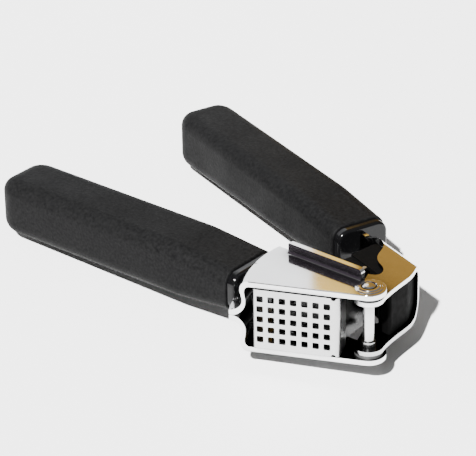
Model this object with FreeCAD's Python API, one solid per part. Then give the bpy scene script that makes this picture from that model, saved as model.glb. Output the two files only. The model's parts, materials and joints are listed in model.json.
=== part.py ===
import FreeCAD, Part
import math
import os

from FreeCAD import Vector

# A lever-type garlic press, lying on its side and opened by 20.5 degrees.
# Everything is drawn about the pivot axis, which is parallel to Z, with the middle plane at z = 0.
# An arm's own frame has the pivot at its origin and the arm running along -X.
# Lengths are in millimetres and angles in degrees.

# Pivot
PIN_RADIUS = 2.0
RUNNING_GAP = 0.05
ROSETTE_RADIUS = 5.0
ROSETTE_HOLE = 2.7
ROSETTE_HEIGHT = 0.7
SPACER_RADIUS = 5.0
COLLAR_RADIUS = 2.7
COLLAR_LENGTH = 2.0

# Side plates of the hopper
PLATE_OUTER = 14.0
PLATE_THICKNESS = 2.0
PLATE_EAR = 6.2
PLATE_REACH = 43.3
PLATE_BEND_START = 42.0
PLATE_BACK = 4.2
PLATE_BACK_LEFT = -40.4
PLATE_EDGE = 0.4
FLANGE_TOP = 18.0
FLANGE_THICKNESS = 2.0
FLANGE_LEFT = -37.4
FLANGE_RIGHT = -5.0
BEND_FROM = 194.0
BEND_TO = 214.0
BEND_TIP = 49.0
TANG_GAP = 0.1
TANG_TOP = 2.0

# Strainer basket, in its own frame
STRAINER_TURN = 24.4
STRIP_THICKNESS = 1.2
STRIP_HALF_WIDTH = 11.6
STRIP_FACE = -6.8
STRIP_NEAR = 8.8
STRIP_FAR = 40.2
STRIP_BEND = 1.9
NEAR_WALL_TOP = 3.2
FAR_WALL_TOP = 27.2
RIM_CORNER = 5.0
RELIEF_RADIUS = 0.9
HOLE_SIDE = 2.4
HOLE_ROUNDING = 0.45
HOLE_PITCH = 4.0
HOLE_COLUMNS = 7
HOLE_ROWS = 5
HOLE_FIRST = 13.3

# Handles: both share one cross-section size
CORE_END = 48.6
COLLAR_BAND = 3.4
HANDLE_END = 165.0
NECK_HALF_HEIGHT = 8.2
GRIP_HALF_HEIGHT = 10.6
TAIL_HALF_HEIGHT = 11.2
NECK_END = 76.0
GRIP_EDGE = 5.5
TAIL_ROUNDING = 8.0
GRIP_WALL = 2.6
COLLAR_INSET = 0.8
CORE_ROUNDING = 1.2
HOPPER_SIDES = ((-15.4, -15.8), (10.8, 8.2))
LEVER_SIDES = ((18.2, 16.6), (41.2, 39.6))
TANG_END = 95.0

# Lever: pressed trough, plunger carrier and press foot
OPENING = 20.5
CLOSED_TURN = 1.3
TROUGH_SHEET = 1.6
TROUGH_HALF_WIDTH = 10.6
TROUGH_CROWN = 30.0
TROUGH_SHOULDER = 6.5
LEVER_EAR = 5.4
TANG_INNER = 27.6
TANG_HALF_WIDTH = 5.5
LEVER_TANG_END = 92.0
LEVER_RIVET_X = (-58.0, -80.0)
CARRIER_RIVET_X = (-20.0, -27.0)
RIVET_RADIUS = 1.8
HOPPER_RIVET_X = (-68.0, -88.0)
HOPPER_RIVET_Y = -6.5
CARRIER_GAP = 0.1
ARM_HALF_WIDTH = 8.4
HINGE_ALONG = 24.6
HINGE_ACROSS = 4.0
HINGE_PIN_RADIUS = 1.5
HINGE_BOSS = 4.6
FOOT_NEAR = 11.3
FOOT_FAR = 38.0
FOOT_FACE = -4.6
FOOT_THICKNESS = 1.8
FOOT_HALF_WIDTH = 11.2
FOOT_WALL_TOP = 16.0
FOOT_LUG_INNER = 8.8
FOOT_LUG_THICKNESS = 1.5

PLATE_INNER = PLATE_OUTER - PLATE_THICKNESS
LEVER_TURN = CLOSED_TURN - OPENING
FOOT_TURN = STRAINER_TURN - OPENING
Z_AXIS = Vector(0, 0, 1)
ORIGIN = Vector(0, 0, 0)


def polar(radius, angle):
    return Vector(radius * math.cos(math.radians(angle)), radius * math.sin(math.radians(angle)), 0)


def turned(shape, angle):
    """A copy of a shape, turned about the pivot axis."""
    copy = shape.copy()
    copy.rotate(ORIGIN, Z_AXIS, angle)
    return copy


def mirrored(shape):
    """A copy of a shape, mirrored in the middle plane."""
    return shape.mirror(ORIGIN, Z_AXIS)


def line(start, end):
    return Part.LineSegment(start, end).toShape()


def curve(points):
    """A smooth edge through points."""
    spline = Part.BSplineCurve()
    spline.interpolate(points)
    return spline.toShape()


def rounded_face(corners):
    """A flat face at z = 0 from corners given as (x, y, radius)."""
    places = [Vector(x, y, 0) for x, y, radius in corners]
    bends = []
    for index, (x, y, radius) in enumerate(corners):
        here = places[index]
        back = (places[index - 1] - here).normalize()
        ahead = (places[(index + 1) % len(corners)] - here).normalize()
        half_angle = back.getAngle(ahead) / 2
        reach = radius / math.tan(half_angle)
        inward = (back + ahead).normalize()
        middle = here + inward * (radius / math.sin(half_angle) - radius)
        bends.append((here + back * reach, middle, here + ahead * reach, radius))
    edges = []
    for index, (enter, middle, leave, radius) in enumerate(bends):
        if radius > 0:
            edges.append(Part.Arc(enter, middle, leave).toShape())
        following = bends[(index + 1) % len(bends)][0]
        if leave.distanceToPoint(following) > 1e-6:
            edges.append(line(leave, following))
    return Part.Face(Part.Wire(edges))


def prism(face, low, high):
    """A face at z = 0 made into a solid between two heights."""
    base = face.copy()
    base.translate(Vector(0, 0, low))
    return base.extrude(Vector(0, 0, high - low))


def cylinder(radius, low, high, x=0, y=0):
    return Part.makeCylinder(radius, high - low, Vector(x, y, low))


def turned_ring(profile):
    """A ring from a closed profile of (radius, height) points, about the pivot axis."""
    points = [Vector(radius, 0, height) for radius, height in profile]
    face = Part.Face(Part.makePolygon(points + points[:1]))
    return face.revolve(ORIGIN, Z_AXIS, 360)


def round_edges(solid, radius, chosen):
    """Round the edges for which chosen(edge) is true."""
    return solid.makeFillet(radius, [edge for edge in solid.Edges if chosen(edge)])


# ---------------------------------------------------------------- hopper side plates

def plate_outline():
    """The flat of a side plate, from the ear round to the bend and back along the flange."""
    tangent = polar(PLATE_EAR, STRAINER_TURN - 90)
    run = math.sqrt(PLATE_BEND_START ** 2 - PLATE_EAR ** 2)
    corner = tangent + polar(run, STRAINER_TURN + 180)
    corner_angle = math.degrees(math.atan2(corner.y, corner.x)) % 360
    inner_step = polar(PLATE_BEND_START, BEND_FROM)
    outer_step = polar(PLATE_REACH, BEND_FROM)
    arc_end_angle = 180 - math.degrees(math.asin(PLATE_BACK / PLATE_REACH))
    arc_end = polar(PLATE_REACH, arc_end_angle)
    notch = Vector(PLATE_BACK_LEFT, PLATE_BACK, 0)
    ear_x = -math.sqrt(PLATE_EAR ** 2 - PLATE_BACK ** 2)
    ear_back = Vector(ear_x, PLATE_BACK, 0)
    edges = [line(tangent, corner)]
    middle = polar(PLATE_BEND_START, (corner_angle + BEND_FROM) / 2)
    edges.append(Part.Arc(corner, middle, inner_step).toShape())
    edges.append(line(inner_step, outer_step))
    middle = polar(PLATE_REACH, (arc_end_angle + BEND_FROM) / 2)
    edges.append(Part.Arc(outer_step, middle, arc_end).toShape())
    edges.append(line(arc_end, notch))
    edges.append(line(notch, ear_back))
    edges.append(Part.Arc(ear_back, polar(PLATE_EAR, 30), tangent).toShape())
    return Part.Face(Part.Wire(edges))


def plate_bend():
    """The S-shaped wall that brings a plate down to the middle plane, and its half of the tang."""
    outer = [(PLATE_BEND_START, PLATE_OUTER), (44.3, 12.9), (45.1, 10.8), (44.7, 8.4), (44.3, 6.4)]
    outer += [(44.8, 4.4), (46.4, 2.8), (BEND_TIP, TANG_TOP)]
    inner = [(BEND_TIP, TANG_GAP), (46.4, 0.5), (44.6, 1.9), (43.5, 3.7), (43.1, 6.0), (43.4, 8.4)]
    inner += [(43.5, 10.4), (PLATE_BEND_START, PLATE_INNER)]
    outer = [Vector(radius, 0, height) for radius, height in outer]
    inner = [Vector(radius, 0, height) for radius, height in inner]
    edges = [curve(outer), line(outer[-1], inner[0]), curve(inner), line(inner[-1], outer[0])]
    wall = Part.Face(Part.Wire(edges)).revolve(ORIGIN, Z_AXIS, BEND_TO - BEND_FROM)
    wall = turned(wall, BEND_FROM)
    front = Part.makeBox(80, 20, 40, Vector(-70, -20 - PLATE_EAR, -20))
    wall = wall.cut(turned(front, STRAINER_TURN))
    start = polar(BEND_TIP - 0.6, 211.4)
    finish = polar(BEND_TIP - 0.6, BEND_FROM + 0.2)
    corners = [(start.x, start.y, 0), (-CORE_END, -14.0, 3.0), (-CORE_END - 8, -10.8, 8.0)]
    corners += [(-TANG_END, -10.0, 3.0)]
    corners += [(-TANG_END, -2.5, 3.0), (-CORE_END, -3.5, 6.0), (finish.x, finish.y, 0)]
    return wall.fuse(prism(rounded_face(corners), TANG_GAP, TANG_TOP))


def side_plate():
    plate = prism(plate_outline(), PLATE_INNER, PLATE_OUTER)
    low_edge = PLATE_BACK - FLANGE_THICKNESS
    corners = [(FLANGE_LEFT, PLATE_INNER, 0), (FLANGE_RIGHT, PLATE_INNER, 0)]
    corners += [(FLANGE_RIGHT, FLANGE_TOP, 1.6), (FLANGE_LEFT, FLANGE_TOP, 0.6)]
    flange = prism(rounded_face(corners), -PLATE_BACK, -low_edge)
    flange.rotate(ORIGIN, Vector(1, 0, 0), 90)
    plate = plate.fuse(flange).removeSplitter()

    def inside_of_bend(edge):
        place = edge.CenterOfMass
        on_line = abs(place.y - low_edge) < 0.01 and abs(place.z - PLATE_OUTER) < 0.01
        return on_line and edge.Length > 20

    plate = round_edges(plate, 1.2, inside_of_bend)

    def rim(edge):
        box = edge.BoundBox
        flat = box.ZLength < 0.01 and abs(box.ZMin - PLATE_OUTER) < 0.01
        clear_of_flange = box.YMax < PLATE_BACK - FLANGE_THICKNESS - 0.5
        beside_bend = box.XMin < -38 and box.YMin < -9
        return flat and clear_of_flange and not beside_bend and edge.Length > 6

    plate = round_edges(plate, PLATE_EDGE, rim)
    plate = plate.fuse(plate_bend())
    bore = cylinder(PIN_RADIUS, 0, 20)
    rivets = [cylinder(RIVET_RADIUS, -5, 5, x, HOPPER_RIVET_Y) for x in HOPPER_RIVET_X]
    return plate.cut([bore] + rivets).removeSplitter()



# ---------------------------------------------------------------- strainer basket

def strainer_punches():
    """Everything that is cut from the strip: the square holes and the bend reliefs."""
    punch = Part.makeBox(HOLE_SIDE, 8, HOLE_SIDE, Vector(-HOLE_SIDE / 2, STRIP_FACE - 3, -HOLE_SIDE / 2))
    punch = round_edges(punch, HOLE_ROUNDING, lambda edge: edge.BoundBox.YLength > 7)
    punches = []
    for column in range(HOLE_COLUMNS):
        for row in range(HOLE_ROWS):
            hole = punch.copy()
            height = HOLE_PITCH * (row - (HOLE_ROWS - 1) / 2)
            hole.translate(Vector(-HOLE_FIRST - HOLE_PITCH * column, 0, height))
            punches.append(hole)
    for side in (-1, 1):
        start = Vector(-STRIP_NEAR - 2.2, STRIP_FACE - 2, side * STRIP_HALF_WIDTH)
        punches.append(Part.makeCylinder(RELIEF_RADIUS, 4, start, Vector(0, 1, 0)))
    return punches


def strainer_basket():
    """One bent strip: short near wall, perforated face and tall far wall with rounded corners."""
    inner_bend = STRIP_BEND - STRIP_THICKNESS
    near, far = -STRIP_NEAR, -STRIP_FAR
    inside = STRIP_FACE + STRIP_THICKNESS
    corners = [(near, NEAR_WALL_TOP, 0.3), (near, STRIP_FACE, STRIP_BEND), (far, STRIP_FACE, STRIP_BEND)]
    corners += [(far, FAR_WALL_TOP, 0), (far + STRIP_THICKNESS, FAR_WALL_TOP, 0)]
    corners += [(far + STRIP_THICKNESS, inside, inner_bend), (near - STRIP_THICKNESS, inside, inner_bend)]
    corners += [(near - STRIP_THICKNESS, NEAR_WALL_TOP, 0.3)]
    strip = prism(rounded_face(corners), -STRIP_HALF_WIDTH, STRIP_HALF_WIDTH)

    def rim_corner(edge):
        box = edge.BoundBox
        return box.YMin > FAR_WALL_TOP - 0.01 and box.ZLength < 0.01

    strip = round_edges(strip, RIM_CORNER, rim_corner)
    strip = strip.cut(strainer_punches())
    tabs = []
    for x in (far + 0.1, near - STRIP_THICKNESS + 0.1):
        for low in (STRIP_HALF_WIDTH, -PLATE_INNER):
            tabs.append(Part.makeBox(1.0, 5.0, PLATE_INNER - STRIP_HALF_WIDTH, Vector(x, -3.0, low)))
    return turned(strip.fuse(tabs).removeSplitter(), STRAINER_TURN)


# ---------------------------------------------------------------- handles

def side_at(side, along):
    """Where one side of a handle is, at a distance from the pivot."""
    near, far = side
    share = (along - CORE_END) / (HANDLE_END - CORE_END)
    return near + (far - near) * share


def handle_bar(sides, inset):
    """The long rounded form of a handle, in its arm's frame, less an inset all round."""
    start = CORE_END - 20
    far = HANDLE_END - inset
    front, back = sides
    corner = TAIL_ROUNDING + 2 - inset
    plan = [(-start, side_at(front, start) + inset, 0), (-far, side_at(front, far) + inset, corner)]
    plan += [(-far, side_at(back, far) - inset, corner), (-start, side_at(back, start) - inset, 0)]
    bar = prism(rounded_face(plan), -20, 20)
    neck = NECK_HALF_HEIGHT - inset
    body = GRIP_HALF_HEIGHT - inset
    tail = TAIL_HALF_HEIGHT - inset
    neck_start = -CORE_END - COLLAR_BAND
    profile = [(-start, -neck, 0), (neck_start, -neck, 30.0), (-NECK_END, -body, 30.0)]
    profile += [(-far, -tail, TAIL_ROUNDING - inset), (-far, tail, TAIL_ROUNDING - inset)]
    profile += [(-NECK_END, body, 30.0), (neck_start, neck, 30.0), (-start, neck, 0)]
    side_view = prism(rounded_face(profile), -60, 60)
    side_view.rotate(ORIGIN, Vector(1, 0, 0), 90)
    bar = bar.common(side_view)
    return round_edges(bar, GRIP_EDGE - inset, lambda edge: edge.BoundBox.XMin < -start - 0.01)


def between(near, far):
    """The space between two distances from the pivot, along an arm."""
    return Part.makeBox(far - near, 120, 60, Vector(-far, -60, -30))


def handle_core(sides, tang, rivets):
    """Rigid core: a glossy end collar and the bar that the soft grip is moulded over."""
    collar_end = CORE_END + COLLAR_BAND
    collar = handle_bar(sides, COLLAR_INSET).common(between(CORE_END, collar_end))
    collar = round_edges(collar, CORE_ROUNDING, lambda edge: edge.BoundBox.XMin > -CORE_END - 0.01)
    bar = handle_bar(sides, GRIP_WALL).common(between(collar_end - 0.5, HANDLE_END))
    return collar.fuse(bar).removeSplitter().cut(tang).cut(rivets)


def handle_grip(sides):
    """Soft grip: the outer skin from the collar to the far end, hollow for the core."""
    near = CORE_END + COLLAR_BAND
    skin = handle_bar(sides, 0).common(between(near, HANDLE_END + 1))
    skin = round_edges(skin, 0.5, lambda edge: edge.BoundBox.XMin > -near - 0.01)
    return skin.cut(handle_bar(sides, GRIP_WALL))


# ---------------------------------------------------------------- lever

def trough_section(inset):
    """The trough's closed outer form: straight sides and a crown with rounded shoulders."""
    half = TROUGH_HALF_WIDTH - inset
    top = TROUGH_CROWN - inset
    shoulder = TROUGH_SHOULDER - inset
    face = rounded_face([(-8, -half, 0), (top, -half, shoulder), (top, half, shoulder), (-8, half, 0)])
    face.rotate(ORIGIN, Vector(1, 1, 1), 120)
    return face.extrude(Vector(-130, 0, 0))


def lever_outline():
    """Side view of the trough, in the lever's frame."""
    mouth = [(3.9, 3.75), (0.9, 9.2), (-1.9, 15.5), (-4.4, 20.8), (-8.2, 25.4), (-14.0, 31.0)]
    throat = [(-13.2, 8.4), (-11.1, 12.4), (-13.6, 15.1), (-17.8, 16.2), (-22.4, 18.5), (-26.4, 23.4)]
    throat += [(-30.0, 26.2), (-36.0, TANG_INNER)]
    mouth = [Vector(x, y, 0) for x, y in mouth]
    throat = [Vector(x, y, 0) for x, y in throat]
    tang_low = Vector(-LEVER_TANG_END, TANG_INNER, 0)
    tang_high = Vector(-LEVER_TANG_END, 31, 0)
    ear_back = polar(LEVER_EAR, 250)
    edges = [curve(mouth), line(mouth[-1], tang_high), line(tang_high, tang_low)]
    edges += [line(tang_low, throat[-1]), curve(throat[::-1]), line(throat[0], ear_back)]
    edges += [Part.Arc(ear_back, polar(LEVER_EAR, 320), mouth[0]).toShape()]
    return Part.Face(Part.Wire(edges))


def tang_taper():
    """Seen from the crown, the sheet is full width at the trough and narrow in the handle."""
    half = TROUGH_HALF_WIDTH + 1
    corners = [(20, -half, 0), (-30, -half, 8.0), (-44, -TANG_HALF_WIDTH, 8.0), (-130, -TANG_HALF_WIDTH, 0)]
    corners += [(-130, TANG_HALF_WIDTH, 0), (-44, TANG_HALF_WIDTH, 8.0), (-30, half, 8.0), (20, half, 0)]
    taper = prism(rounded_face(corners), -60, 60)
    taper.rotate(ORIGIN, Vector(1, 0, 0), 90)
    return taper


def lever_frame():
    sheet = trough_section(0).cut(trough_section(TROUGH_SHEET))
    sheet.translate(Vector(10, 0, 0))
    frame = sheet.common(prism(lever_outline(), -20, 20)).common(tang_taper())
    bore = cylinder(PIN_RADIUS + RUNNING_GAP, -20, 20)
    rivets = [lever_rivet(x) for x in LEVER_RIVET_X] + [carrier_rivet(x) for x in CARRIER_RIVET_X]
    return frame.cut([bore] + rivets).removeSplitter()


def lever_rivet(x):
    """Blind rivet through the lever tang, across the handle core."""
    return Part.makeCylinder(RIVET_RADIUS, 12, Vector(x, 23, 0), Vector(0, 1, 0))


def carrier_rivet(x):
    """Domed rivet that holds the plunger carrier in the trough's crown."""
    shank = Part.makeCylinder(1.2, 7, Vector(x, 23.2, 0), Vector(0, 1, 0))
    dome = Part.makeSphere(3.2, Vector(x, 27.6, 0))
    cap = Part.makeBox(10, 4, 10, Vector(x - 5, 29.55, -5))
    return shank.fuse(dome.common(cap))


def hinge_place():
    """The press foot's hinge in the lever's frame."""
    place = Vector(-HINGE_ALONG, HINGE_ACROSS, 0)
    turn = math.radians(STRAINER_TURN - CLOSED_TURN)
    x = place.x * math.cos(turn) - place.y * math.sin(turn)
    y = place.x * math.sin(turn) + place.y * math.cos(turn)
    return Vector(x, y, 0)


def plunger_carrier():
    """Moulding that fills the trough behind the pin and reaches down to the press foot."""
    hinge = hinge_place()
    fill_corners = [(-1.2, 9.6, 1.0), (-6.4, 20.8, 8.0), (-15.4, 31.0, 0), (-33.0, 31.0, 0)]
    fill_corners += [(-33.0, 24.0, 0), (-31.0, 13.0, 0), (-13.5, 13.0, 3.0), (-6.4, 8.6, 2.0)]
    fill = prism(rounded_face(fill_corners), -20, 20)
    core = trough_section(TROUGH_SHEET + CARRIER_GAP)
    fill = fill.common(core)
    boss = HINGE_BOSS
    arm_corners = [(-31.0, 20.0, 0), (-20.2, 20.0, 0), (-19.8, 8.0, 0), (hinge.x + boss, hinge.y, 0)]
    arm_corners += [(hinge.x + boss, hinge.y - boss, 4.0), (hinge.x - boss, hinge.y - boss, 4.0)]
    arm_corners += [(hinge.x - boss, hinge.y, 3.0)]
    arm = prism(rounded_face(arm_corners), -ARM_HALF_WIDTH, ARM_HALF_WIDTH)
    pin = cylinder(HINGE_PIN_RADIUS, -20, 20, hinge.x, hinge.y)
    rivets = [carrier_rivet(x) for x in CARRIER_RIVET_X]
    return fill.fuse(arm).removeSplitter().cut([pin] + rivets)


def is_foot_far_edge(edge):
    """The press foot's straight edges in its plane at the far end."""
    box = edge.BoundBox
    return box.ZLength < 0.01 and box.XMax < 0.01 - FOOT_FAR


def press_foot():
    """Steel foot: flat pressing face, wall beside the pivot and two hinge lugs."""
    top = FOOT_FACE + FOOT_THICKNESS
    corners = [(-FOOT_NEAR, FOOT_WALL_TOP, 0.4), (-FOOT_NEAR, FOOT_FACE, 1.6), (-FOOT_FAR, FOOT_FACE, 0)]
    corners += [(-FOOT_FAR, top, 0), (-FOOT_NEAR - 1.4, top, 0.5), (-FOOT_NEAR - 1.4, FOOT_WALL_TOP, 0.4)]
    foot = prism(rounded_face(corners), -FOOT_HALF_WIDTH, FOOT_HALF_WIDTH)
    foot = round_edges(foot, 1.5, is_foot_far_edge)
    lug_corners = [(-HINGE_ALONG + 7, top - 0.2, 0), (-HINGE_ALONG - 7, top - 0.2, 0)]
    lug_corners.append((-HINGE_ALONG - 3.6, HINGE_ACROSS + 3.6, 3.4))
    lug_corners.append((-HINGE_ALONG + 3.6, HINGE_ACROSS + 3.6, 3.4))
    lug = prism(rounded_face(lug_corners), FOOT_LUG_INNER, FOOT_LUG_INNER + FOOT_LUG_THICKNESS)
    foot = foot.fuse([lug, mirrored(lug)]).removeSplitter()
    bore = cylinder(HINGE_PIN_RADIUS + RUNNING_GAP, -20, 20, -HINGE_ALONG, HINGE_ACROSS)
    return foot.cut(bore)


def foot_pin(hinge):
    return cylinder(HINGE_PIN_RADIUS, -11.2, 11.2, hinge.x, hinge.y)


def foot_pin_rings(hinge):
    low = FOOT_LUG_INNER + FOOT_LUG_THICKNESS + RUNNING_GAP
    ring = cylinder(2.6, low, low + 0.6, hinge.x, hinge.y)
    ring = ring.cut(cylinder(HINGE_PIN_RADIUS, 0, 20, hinge.x, hinge.y))
    return Part.makeCompound([ring, mirrored(ring)])


# ---------------------------------------------------------------- pivot

def pivot_pin():
    """Shaft with a domed rivet head at each end."""
    shaft = cylinder(PIN_RADIUS, -PLATE_OUTER - 0.6, PLATE_OUTER + 0.6)
    profile = [(0, PLATE_OUTER - 0.4), (2.3, PLATE_OUTER + 0.05), (2.3, PLATE_OUTER + 0.6)]
    profile += [(1.7, PLATE_OUTER + 1.0), (0, PLATE_OUTER + 1.2)]
    head = turned_ring(profile)
    return shaft.fuse([head, mirrored(head)]).removeSplitter()


def rosette():
    """Raised ring round the rivet head, on the outer face of a side plate."""
    low = PLATE_OUTER
    profile = [(ROSETTE_HOLE, low), (ROSETTE_RADIUS, low), (ROSETTE_RADIUS - 0.3, low + 0.3)]
    profile += [(ROSETTE_RADIUS - 0.9, low + 0.35), (ROSETTE_RADIUS - 1.2, low + ROSETTE_HEIGHT)]
    profile += [(ROSETTE_HOLE + 0.3, low + ROSETTE_HEIGHT), (ROSETTE_HOLE, low + ROSETTE_HEIGHT - 0.3)]
    return turned_ring(profile)


def spacer():
    """Plastic washer between a side plate and the lever's ear."""
    low = TROUGH_HALF_WIDTH + RUNNING_GAP
    ring = cylinder(SPACER_RADIUS, low, PLATE_INNER)
    return ring.cut(cylinder(PIN_RADIUS, low - 1, PLATE_INNER + 1))


def pivot_collar():
    """Ring pressed on the pin, just above the lower ear."""
    low = -TROUGH_HALF_WIDTH + TROUGH_SHEET + RUNNING_GAP
    ring = cylinder(COLLAR_RADIUS, low, low + COLLAR_LENGTH)
    return ring.cut(cylinder(PIN_RADIUS, low - 1, low + COLLAR_LENGTH + 1))


# ---------------------------------------------------------------- assembly

def build():
    """Every piece in place, by name, about the pivot."""
    upper = side_plate()
    lower = mirrored(upper)
    tang_rivets = [cylinder(RIVET_RADIUS, -6.4, 6.4, x, HOPPER_RIVET_Y) for x in HOPPER_RIVET_X]
    frame = lever_frame()
    lever_rivets = [lever_rivet(x) for x in LEVER_RIVET_X]
    tang = frame.common(Part.makeBox(100, 40, 40, Vector(-100 - CORE_END, 0, -20)))
    hinge = hinge_place()
    pieces = {
        "side_plate_upper": upper,
        "side_plate_lower": lower,
        "strainer_basket": strainer_basket(),
        "hopper_handle_core": handle_core(HOPPER_SIDES, [upper, lower], tang_rivets),
        "hopper_handle_grip": handle_grip(HOPPER_SIDES),
        "hopper_tang_rivets": Part.makeCompound(tang_rivets),
        "pivot_pin": pivot_pin(),
        "pivot_rosette_upper": rosette(),
        "pivot_rosette_lower": mirrored(rosette()),
        "pivot_spacer_upper": spacer(),
        "pivot_spacer_lower": mirrored(spacer()),
        "pivot_collar": pivot_collar(),
    }
    lever_pieces = {
        "lever_frame": frame,
        "lever_handle_core": handle_core(LEVER_SIDES, [tang], lever_rivets),
        "lever_handle_grip": handle_grip(LEVER_SIDES),
        "lever_tang_rivets": Part.makeCompound(lever_rivets),
        "plunger_carrier": plunger_carrier(),
        "carrier_rivets": Part.makeCompound([carrier_rivet(x) for x in CARRIER_RIVET_X]),
        "foot_pin": foot_pin(hinge),
        "foot_pin_rings": foot_pin_rings(hinge),
    }
    for name, shape in lever_pieces.items():
        pieces[name] = turned(shape, LEVER_TURN)
    pieces["press_foot"] = turned(press_foot(), FOOT_TURN)
    return pieces


def main():
    os.makedirs("parts", exist_ok=True)
    pieces = build()
    points = Part.makeCompound(list(pieces.values())).tessellate(0.02)[0]
    box = FreeCAD.BoundBox(points[0], points[0])
    for point in points:
        box.add(point)
    to_base = Vector(-box.Center.x, -box.Center.y, -box.ZMin)
    for name, shape in pieces.items():
        shape.translate(to_base)
        shape.exportStep("parts/" + name + ".step")
        print(name, len(shape.Solids), "solids", round(shape.Volume), "mm3, valid", shape.isValid())
    print("pivot at", tuple(to_base), "size", box.XLength, box.YLength, box.ZLength)


main()
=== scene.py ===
"""Looks, light and camera for the garlic press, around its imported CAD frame. Metres, row frame."""
import json
import math
import bpy
from mathutils import Matrix, Vector


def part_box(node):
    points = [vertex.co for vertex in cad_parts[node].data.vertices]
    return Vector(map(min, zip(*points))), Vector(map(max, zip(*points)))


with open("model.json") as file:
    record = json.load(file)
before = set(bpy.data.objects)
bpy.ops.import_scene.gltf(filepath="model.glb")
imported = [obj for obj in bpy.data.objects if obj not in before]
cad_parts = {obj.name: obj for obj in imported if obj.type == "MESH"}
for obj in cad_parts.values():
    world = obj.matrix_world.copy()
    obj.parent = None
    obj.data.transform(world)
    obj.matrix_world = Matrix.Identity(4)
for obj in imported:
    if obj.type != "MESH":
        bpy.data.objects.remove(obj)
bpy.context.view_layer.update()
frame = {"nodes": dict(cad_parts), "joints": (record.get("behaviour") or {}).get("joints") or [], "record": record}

NODES = frame["nodes"]
RECORD = frame["record"]
JOINTS = {j["name"]: j for j in frame["joints"]}
PIVOT = Vector(JOINTS["lever_pivot"]["pos_m"])

# Camera: seen from the mouth side, above, with a long lens
CAMERA_AZIMUTH = 40.1
CAMERA_ELEVATION = 28.0
CAMERA_ROLL = -1.0
CAMERA_DISTANCE = 1.0
CAMERA_LEFT = 0.04535
CAMERA_UP = 0.03276
CAMERA_LENS = 217.97

# The part of a noise's range that most of it lies in
NOISE_LOW = 0.3
NOISE_HIGH = 0.7

# Light
SUN_AZIMUTH = -69.0
SUN_ELEVATION = 44.5
SUN_STRENGTH = 20.0
SUN_ANGLE = 1.6
SKY_STRENGTH = 0.24
CARD_DISTANCE = 0.28
WARM_EDGE = 0.0128
AMBER_EDGE = 0.0065
CARD_HALF_HEIGHT = 0.16
DARK_CARD_DISTANCE = 0.35
FLOOR_REACH = 3.0
FLOOR_SLOPE_X = -0.0564
FLOOR_SLOPE_Y = 0.0118


def view_axes():
    """Camera right, up and backward directions, roll included."""
    a = math.radians(CAMERA_AZIMUTH)
    e = math.radians(CAMERA_ELEVATION)
    r = math.radians(CAMERA_ROLL)
    back = Vector((math.sin(a) * math.cos(e), -math.cos(a) * math.cos(e), math.sin(e)))
    flat_right = Vector((math.cos(a), math.sin(a), 0))
    flat_up = back.cross(flat_right)
    right = flat_right * math.cos(r) + flat_up * math.sin(r)
    up = flat_up * math.cos(r) - flat_right * math.sin(r)
    return right, up, back


# ---------- materials ----------
class Finish:
    """A procedural material built round one Principled shader, in the object's own coordinates."""

    def __init__(self, name, colour, metallic, specular=0.5):
        self.material = bpy.data.materials.new(name)
        self.material.use_nodes = True
        self.tree = self.material.node_tree
        self.shader = self.tree.nodes["Principled BSDF"]
        self.set("Base Color", (*colour, 1))
        self.set("Metallic", metallic)
        self.set("Specular IOR Level", specular)
        self.coords = self.tree.nodes.new("ShaderNodeTexCoord").outputs["Object"]
        self.normal = None

    def set(self, socket, value):
        self.shader.inputs[socket].default_value = value

    def link(self, out, into):
        self.tree.links.new(out, into)

    def noise(self, size, detail=4, stretch=(1, 1, 1)):
        """Noise whose features are about `size` metres across, drawn out along the axes with stretch > 1."""
        mapping = self.tree.nodes.new("ShaderNodeMapping")
        mapping.inputs["Scale"].default_value = [1 / s for s in stretch]
        self.link(self.coords, mapping.inputs["Vector"])
        noise = self.tree.nodes.new("ShaderNodeTexNoise")
        noise.inputs["Scale"].default_value = 1 / size
        noise.inputs["Detail"].default_value = detail
        self.link(mapping.outputs["Vector"], noise.inputs["Vector"])
        return noise.outputs["Fac"]

    def remap(self, value, low, high):
        """A noise spread over low to high."""
        node = self.tree.nodes.new("ShaderNodeMapRange")
        node.inputs["From Min"].default_value = NOISE_LOW
        node.inputs["From Max"].default_value = NOISE_HIGH
        node.inputs["To Min"].default_value = low
        node.inputs["To Max"].default_value = high
        self.link(value, node.inputs["Value"])
        return node.outputs["Result"]

    def vary_roughness(self, value, low, high):
        self.link(self.remap(value, low, high), self.shader.inputs["Roughness"])

    def vary_colour(self, value, first, second):
        mix = self.tree.nodes.new("ShaderNodeMix")
        mix.data_type = "RGBA"
        mix.inputs[6].default_value = (*first, 1)
        mix.inputs[7].default_value = (*second, 1)
        self.link(self.remap(value, 0, 1), mix.inputs[0])
        self.link(mix.outputs[2], self.shader.inputs["Base Color"])

    def paint_recess_shade(self, reach, depth):
        """Painted shade: takes the colour down towards near-black where other surfaces stand within `reach`
        metres, in place of the shade that falls in recesses.
        """
        hidden = self.tree.nodes.new("ShaderNodeAmbientOcclusion")
        hidden.inputs["Distance"].default_value = reach
        hidden.samples = 8
        curve = self.tree.nodes.new("ShaderNodeMath")
        curve.operation = "POWER"
        curve.inputs[1].default_value = depth
        self.link(hidden.outputs["AO"], curve.inputs[0])
        mix = self.tree.nodes.new("ShaderNodeMix")
        mix.data_type = "RGBA"
        # the near-black colour that the painted shade mixes in
        mix.inputs[6].default_value = (0.01, 0.01, 0.01, 1)
        self.link(curve.outputs[0], mix.inputs[0])
        self.link(self.shader.inputs["Base Color"].links[0].from_socket, mix.inputs[7])
        self.link(mix.outputs[2], self.shader.inputs["Base Color"])

    def bump(self, value, height, strength=1.0):
        """Adds a bump of `height` metres on top of any before it."""
        node = self.tree.nodes.new("ShaderNodeBump")
        node.inputs["Distance"].default_value = height
        node.inputs["Strength"].default_value = strength
        self.link(value, node.inputs["Height"])
        if self.normal is not None:
            self.link(self.normal, node.inputs["Normal"])
        self.normal = node.outputs["Normal"]
        self.link(self.normal, self.shader.inputs["Normal"])


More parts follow.
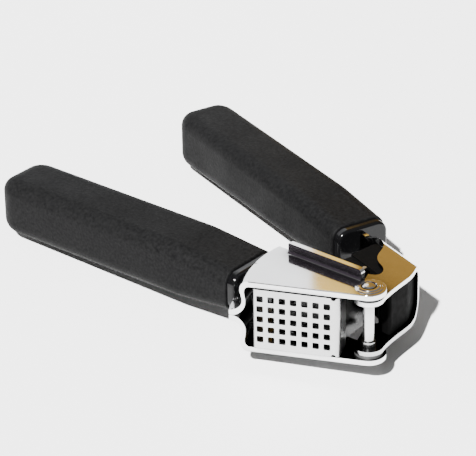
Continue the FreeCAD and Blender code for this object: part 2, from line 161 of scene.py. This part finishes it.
def steel(name, tone, rough, streak, streak_height, shade_reach=0.006, depth=1.6):
    """Stainless steel: fine rolling or brushing streaks along X, light smears, a soft waviness
    and painted shade that darkens the colour in recesses, out to the reach given in metres."""
    f = Finish(name, (tone, tone, tone), 1.0)
    grain = f.noise(0.00012, 3, (streak, 1, 1))
    smear = f.noise(0.006, 5)
    f.vary_colour(smear, (tone * 0.95, tone * 0.95, tone * 0.955), (tone, tone, tone * 0.995))
    # painted shade: the colour darkens in recesses and close to other surfaces
    f.paint_recess_shade(shade_reach, depth)
    f.vary_roughness(smear, rough * 0.8, rough * 1.25)
    f.bump(grain, streak_height, 0.5)
    f.bump(f.noise(0.009, 1), 0.00001, 0.4)
    return f.material


def gloss_black():
    """Glossy black moulding with faint flow marks and dust-fine scuffs."""
    f = Finish("gloss_black", (0.002, 0.002, 0.0022), 0.0, 0.2)
    f.vary_roughness(f.noise(0.003, 6), 0.08, 0.2)
    f.bump(f.noise(0.004, 2), 0.00002, 0.4)
    f.bump(f.noise(0.00025, 3), 0.000002, 0.5)
    return f.material


def soft_grip():
    """Matte elastomer with a fine moulded grain and slightly polished patches where it is held."""
    f = Finish("soft_grip", (0.0035, 0.0035, 0.0036), 0.0, 0.045)
    worn = f.noise(0.02, 4)
    f.vary_colour(f.noise(0.0011, 6), (0.0018, 0.0018, 0.0019), (0.0058, 0.0058, 0.0059))
    f.vary_roughness(worn, 0.54, 0.68)
    f.bump(f.noise(0.0009, 6), 0.00014, 0.7)
    f.bump(f.noise(0.00022, 3), 0.00003, 0.5)
    return f.material


def carrier_black():
    """Satin black moulding of the plunger carrier, with a fine moulded texture."""
    f = Finish("carrier_black", (0.0015, 0.0015, 0.0015), 0.0, 0.02)
    f.vary_roughness(f.noise(0.002, 5), 0.55, 0.7)
    f.bump(f.noise(0.0004, 3), 0.00001, 0.5)
    return f.material


def nylon():
    """Black washer plastic with a moulded texture."""
    f = Finish("washer_nylon", (0.03, 0.03, 0.03), 0.0)
    f.vary_roughness(f.noise(0.001, 4), 0.4, 0.6)
    f.bump(f.noise(0.0003, 3), 0.00002, 0.5)
    return f.material


# The last two numbers of each steel set the reach and steepness of its painted recess shade.
FINISHES = {
    "polished_steel": steel("polished_steel", 0.86, 0.09, 25, 0.0000015, 0.012, 2.4),
    "strainer_steel": steel("strainer_steel", 0.56, 0.3, 12, 0.000004, 0.008, 2.2),
    "brushed_foot": steel("brushed_foot", 0.42, 0.3, 30, 0.000005, 0.012, 3.0),
    "rivet_steel": steel("rivet_steel", 0.66, 0.16, 1, 0.000003),
    "washer_nylon": nylon(),
    "gloss_black": gloss_black(),
    "soft_grip": soft_grip(),
}

NODE_FINISHES = {
    "plunger_carrier": carrier_black(),
    # The trough steel gets much stronger painted shade, so that its inside reads dark.
    "lever_frame": steel("trough_steel", 0.86, 0.09, 25, 0.0000015, 0.022, 5.0),
}

for part in RECORD["subparts"]:
    shown = NODES[part["node"]]
    finish = NODE_FINISHES.get(part["node"], FINISHES[part["material_slot"]])
    if not shown.material_slots:
        shown.data.materials.append(finish)
    for place in shown.material_slots:
        place.material = finish


# ---------- stage ----------
def quad(name, corners, material):
    """One flat face of the stage."""
    mesh = bpy.data.meshes.new(name)
    mesh.from_pydata([tuple(c) for c in corners], [], [(0, 1, 2, 3)])
    mesh.materials.append(material)
    made = bpy.data.objects.new(name, mesh)
    bpy.context.scene.collection.objects.link(made)
    return made


def glow(name, colour, strength):
    """A plain emitting material for a card."""
    material = bpy.data.materials.new(name)
    material.use_nodes = True
    tree = material.node_tree
    tree.nodes.clear()
    out = tree.nodes.new("ShaderNodeOutputMaterial")
    light = tree.nodes.new("ShaderNodeEmission")
    light.inputs["Color"].default_value = (*colour, 1)
    light.inputs["Strength"].default_value = strength
    tree.links.new(light.outputs[0], out.inputs["Surface"])
    return material


def card(name, centre, across, upward, colour, strength):
    """A reflector card that only polished surfaces see."""
    corners = [centre - across - upward, centre + across - upward,
               centre + across + upward, centre - across + upward]
    made = quad(name, corners, glow(name, colour, strength))
    made.visible_camera = False
    made.visible_diffuse = False
    made.visible_shadow = False
    return made


def floor_height(x, y):
    """The table under the press: through the plate's flange edge and both handle ends."""
    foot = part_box("side_plate_lower")[0]
    return FLOOR_SLOPE_X * (x - foot.x) + FLOOR_SLOPE_Y * (y - PIVOT.y) - 0.0001


def pale_floor():
    """The table: a matte white sheet, tilted because the press lies a little askew on it."""
    paint = Finish("floor_paint", (0.93, 0.93, 0.93), 0.0, 0.2)
    paint.vary_roughness(paint.noise(0.03, 3), 0.7, 0.8)
    far = FLOOR_REACH
    spots = [(-far, -far), (far, -far), (far, far), (-far, far)]
    return quad("floor", [(x, y, floor_height(x, y)) for x, y in spots], paint.material)


def cards():
    """White, warm and amber cards behind the press, and a dark one in front to its left."""
    right, _, back = view_axes()
    mirrored_back = Vector((-back.x, -back.y, back.z))
    edge = PIVOT - right * WARM_EDGE + mirrored_back * CARD_DISTANCE
    flat_right = Vector((right.x, right.y, 0)).normalized()
    upward = mirrored_back.cross(flat_right).normalized() * CARD_HALF_HEIGHT
    card("white_card", edge - flat_right * 0.2, flat_right * 0.2, upward, (0.97, 0.98, 1.0), 2.6)
    warm_half = (WARM_EDGE + AMBER_EDGE) / 2
    card("warm_card", edge + flat_right * warm_half, flat_right * warm_half, upward, (1.0, 0.66, 0.17), 1.5)
    amber = edge + flat_right * (2 * warm_half + 0.15)
    card("amber_card", amber, flat_right * 0.15, upward, (1.0, 0.57, 0.13), 0.5)
    left_front = Vector((-back.x, back.y, back.z))
    side = left_front.cross(Vector((0, 0, 1))).normalized()
    centre = PIVOT + left_front * DARK_CARD_DISTANCE
    card("dark_card", centre, side * 0.16, left_front.cross(side) * 0.2, (0.13, 0.105, 0.135), 1.0)


def lights():
    """An even pale sky and one fairly hard key light from the camera's left."""
    world = bpy.data.worlds.new("studio")
    bpy.context.scene.world = world
    world.use_nodes = True
    ground = world.node_tree.nodes["Background"]
    ground.inputs["Color"].default_value = (1, 1, 1, 1)
    ground.inputs["Strength"].default_value = SKY_STRENGTH
    data = bpy.data.lights.new("key", "SUN")
    data.energy = SUN_STRENGTH
    data.angle = math.radians(SUN_ANGLE)
    sun = bpy.data.objects.new("key", data)
    bpy.context.scene.collection.objects.link(sun)
    turn = math.radians(SUN_AZIMUTH)
    lift = math.radians(SUN_ELEVATION)
    toward = Vector((math.cos(turn) * math.cos(lift), math.sin(turn) * math.cos(lift), math.sin(lift)))
    sun.rotation_mode = "QUATERNION"
    sun.rotation_quaternion = (-toward).to_track_quat("-Z", "Y")


def camera():
    """The long-lens camera, looking down on the head from the mouth side."""
    right, up, back = view_axes()
    data = bpy.data.cameras.new("camera")
    data.sensor_width = 36
    data.lens = CAMERA_LENS
    data.clip_start = CAMERA_DISTANCE * 0.05
    data.clip_end = CAMERA_DISTANCE * 20
    made = bpy.data.objects.new("camera", data)
    place = PIVOT + back * CAMERA_DISTANCE - right * CAMERA_LEFT + up * CAMERA_UP
    turn = Matrix((right, up, back)).transposed().to_4x4()
    made.matrix_world = Matrix.Translation(place) @ turn
    bpy.context.scene.collection.objects.link(made)
    bpy.context.scene.camera = made


pale_floor()
cards()
lights()
camera()
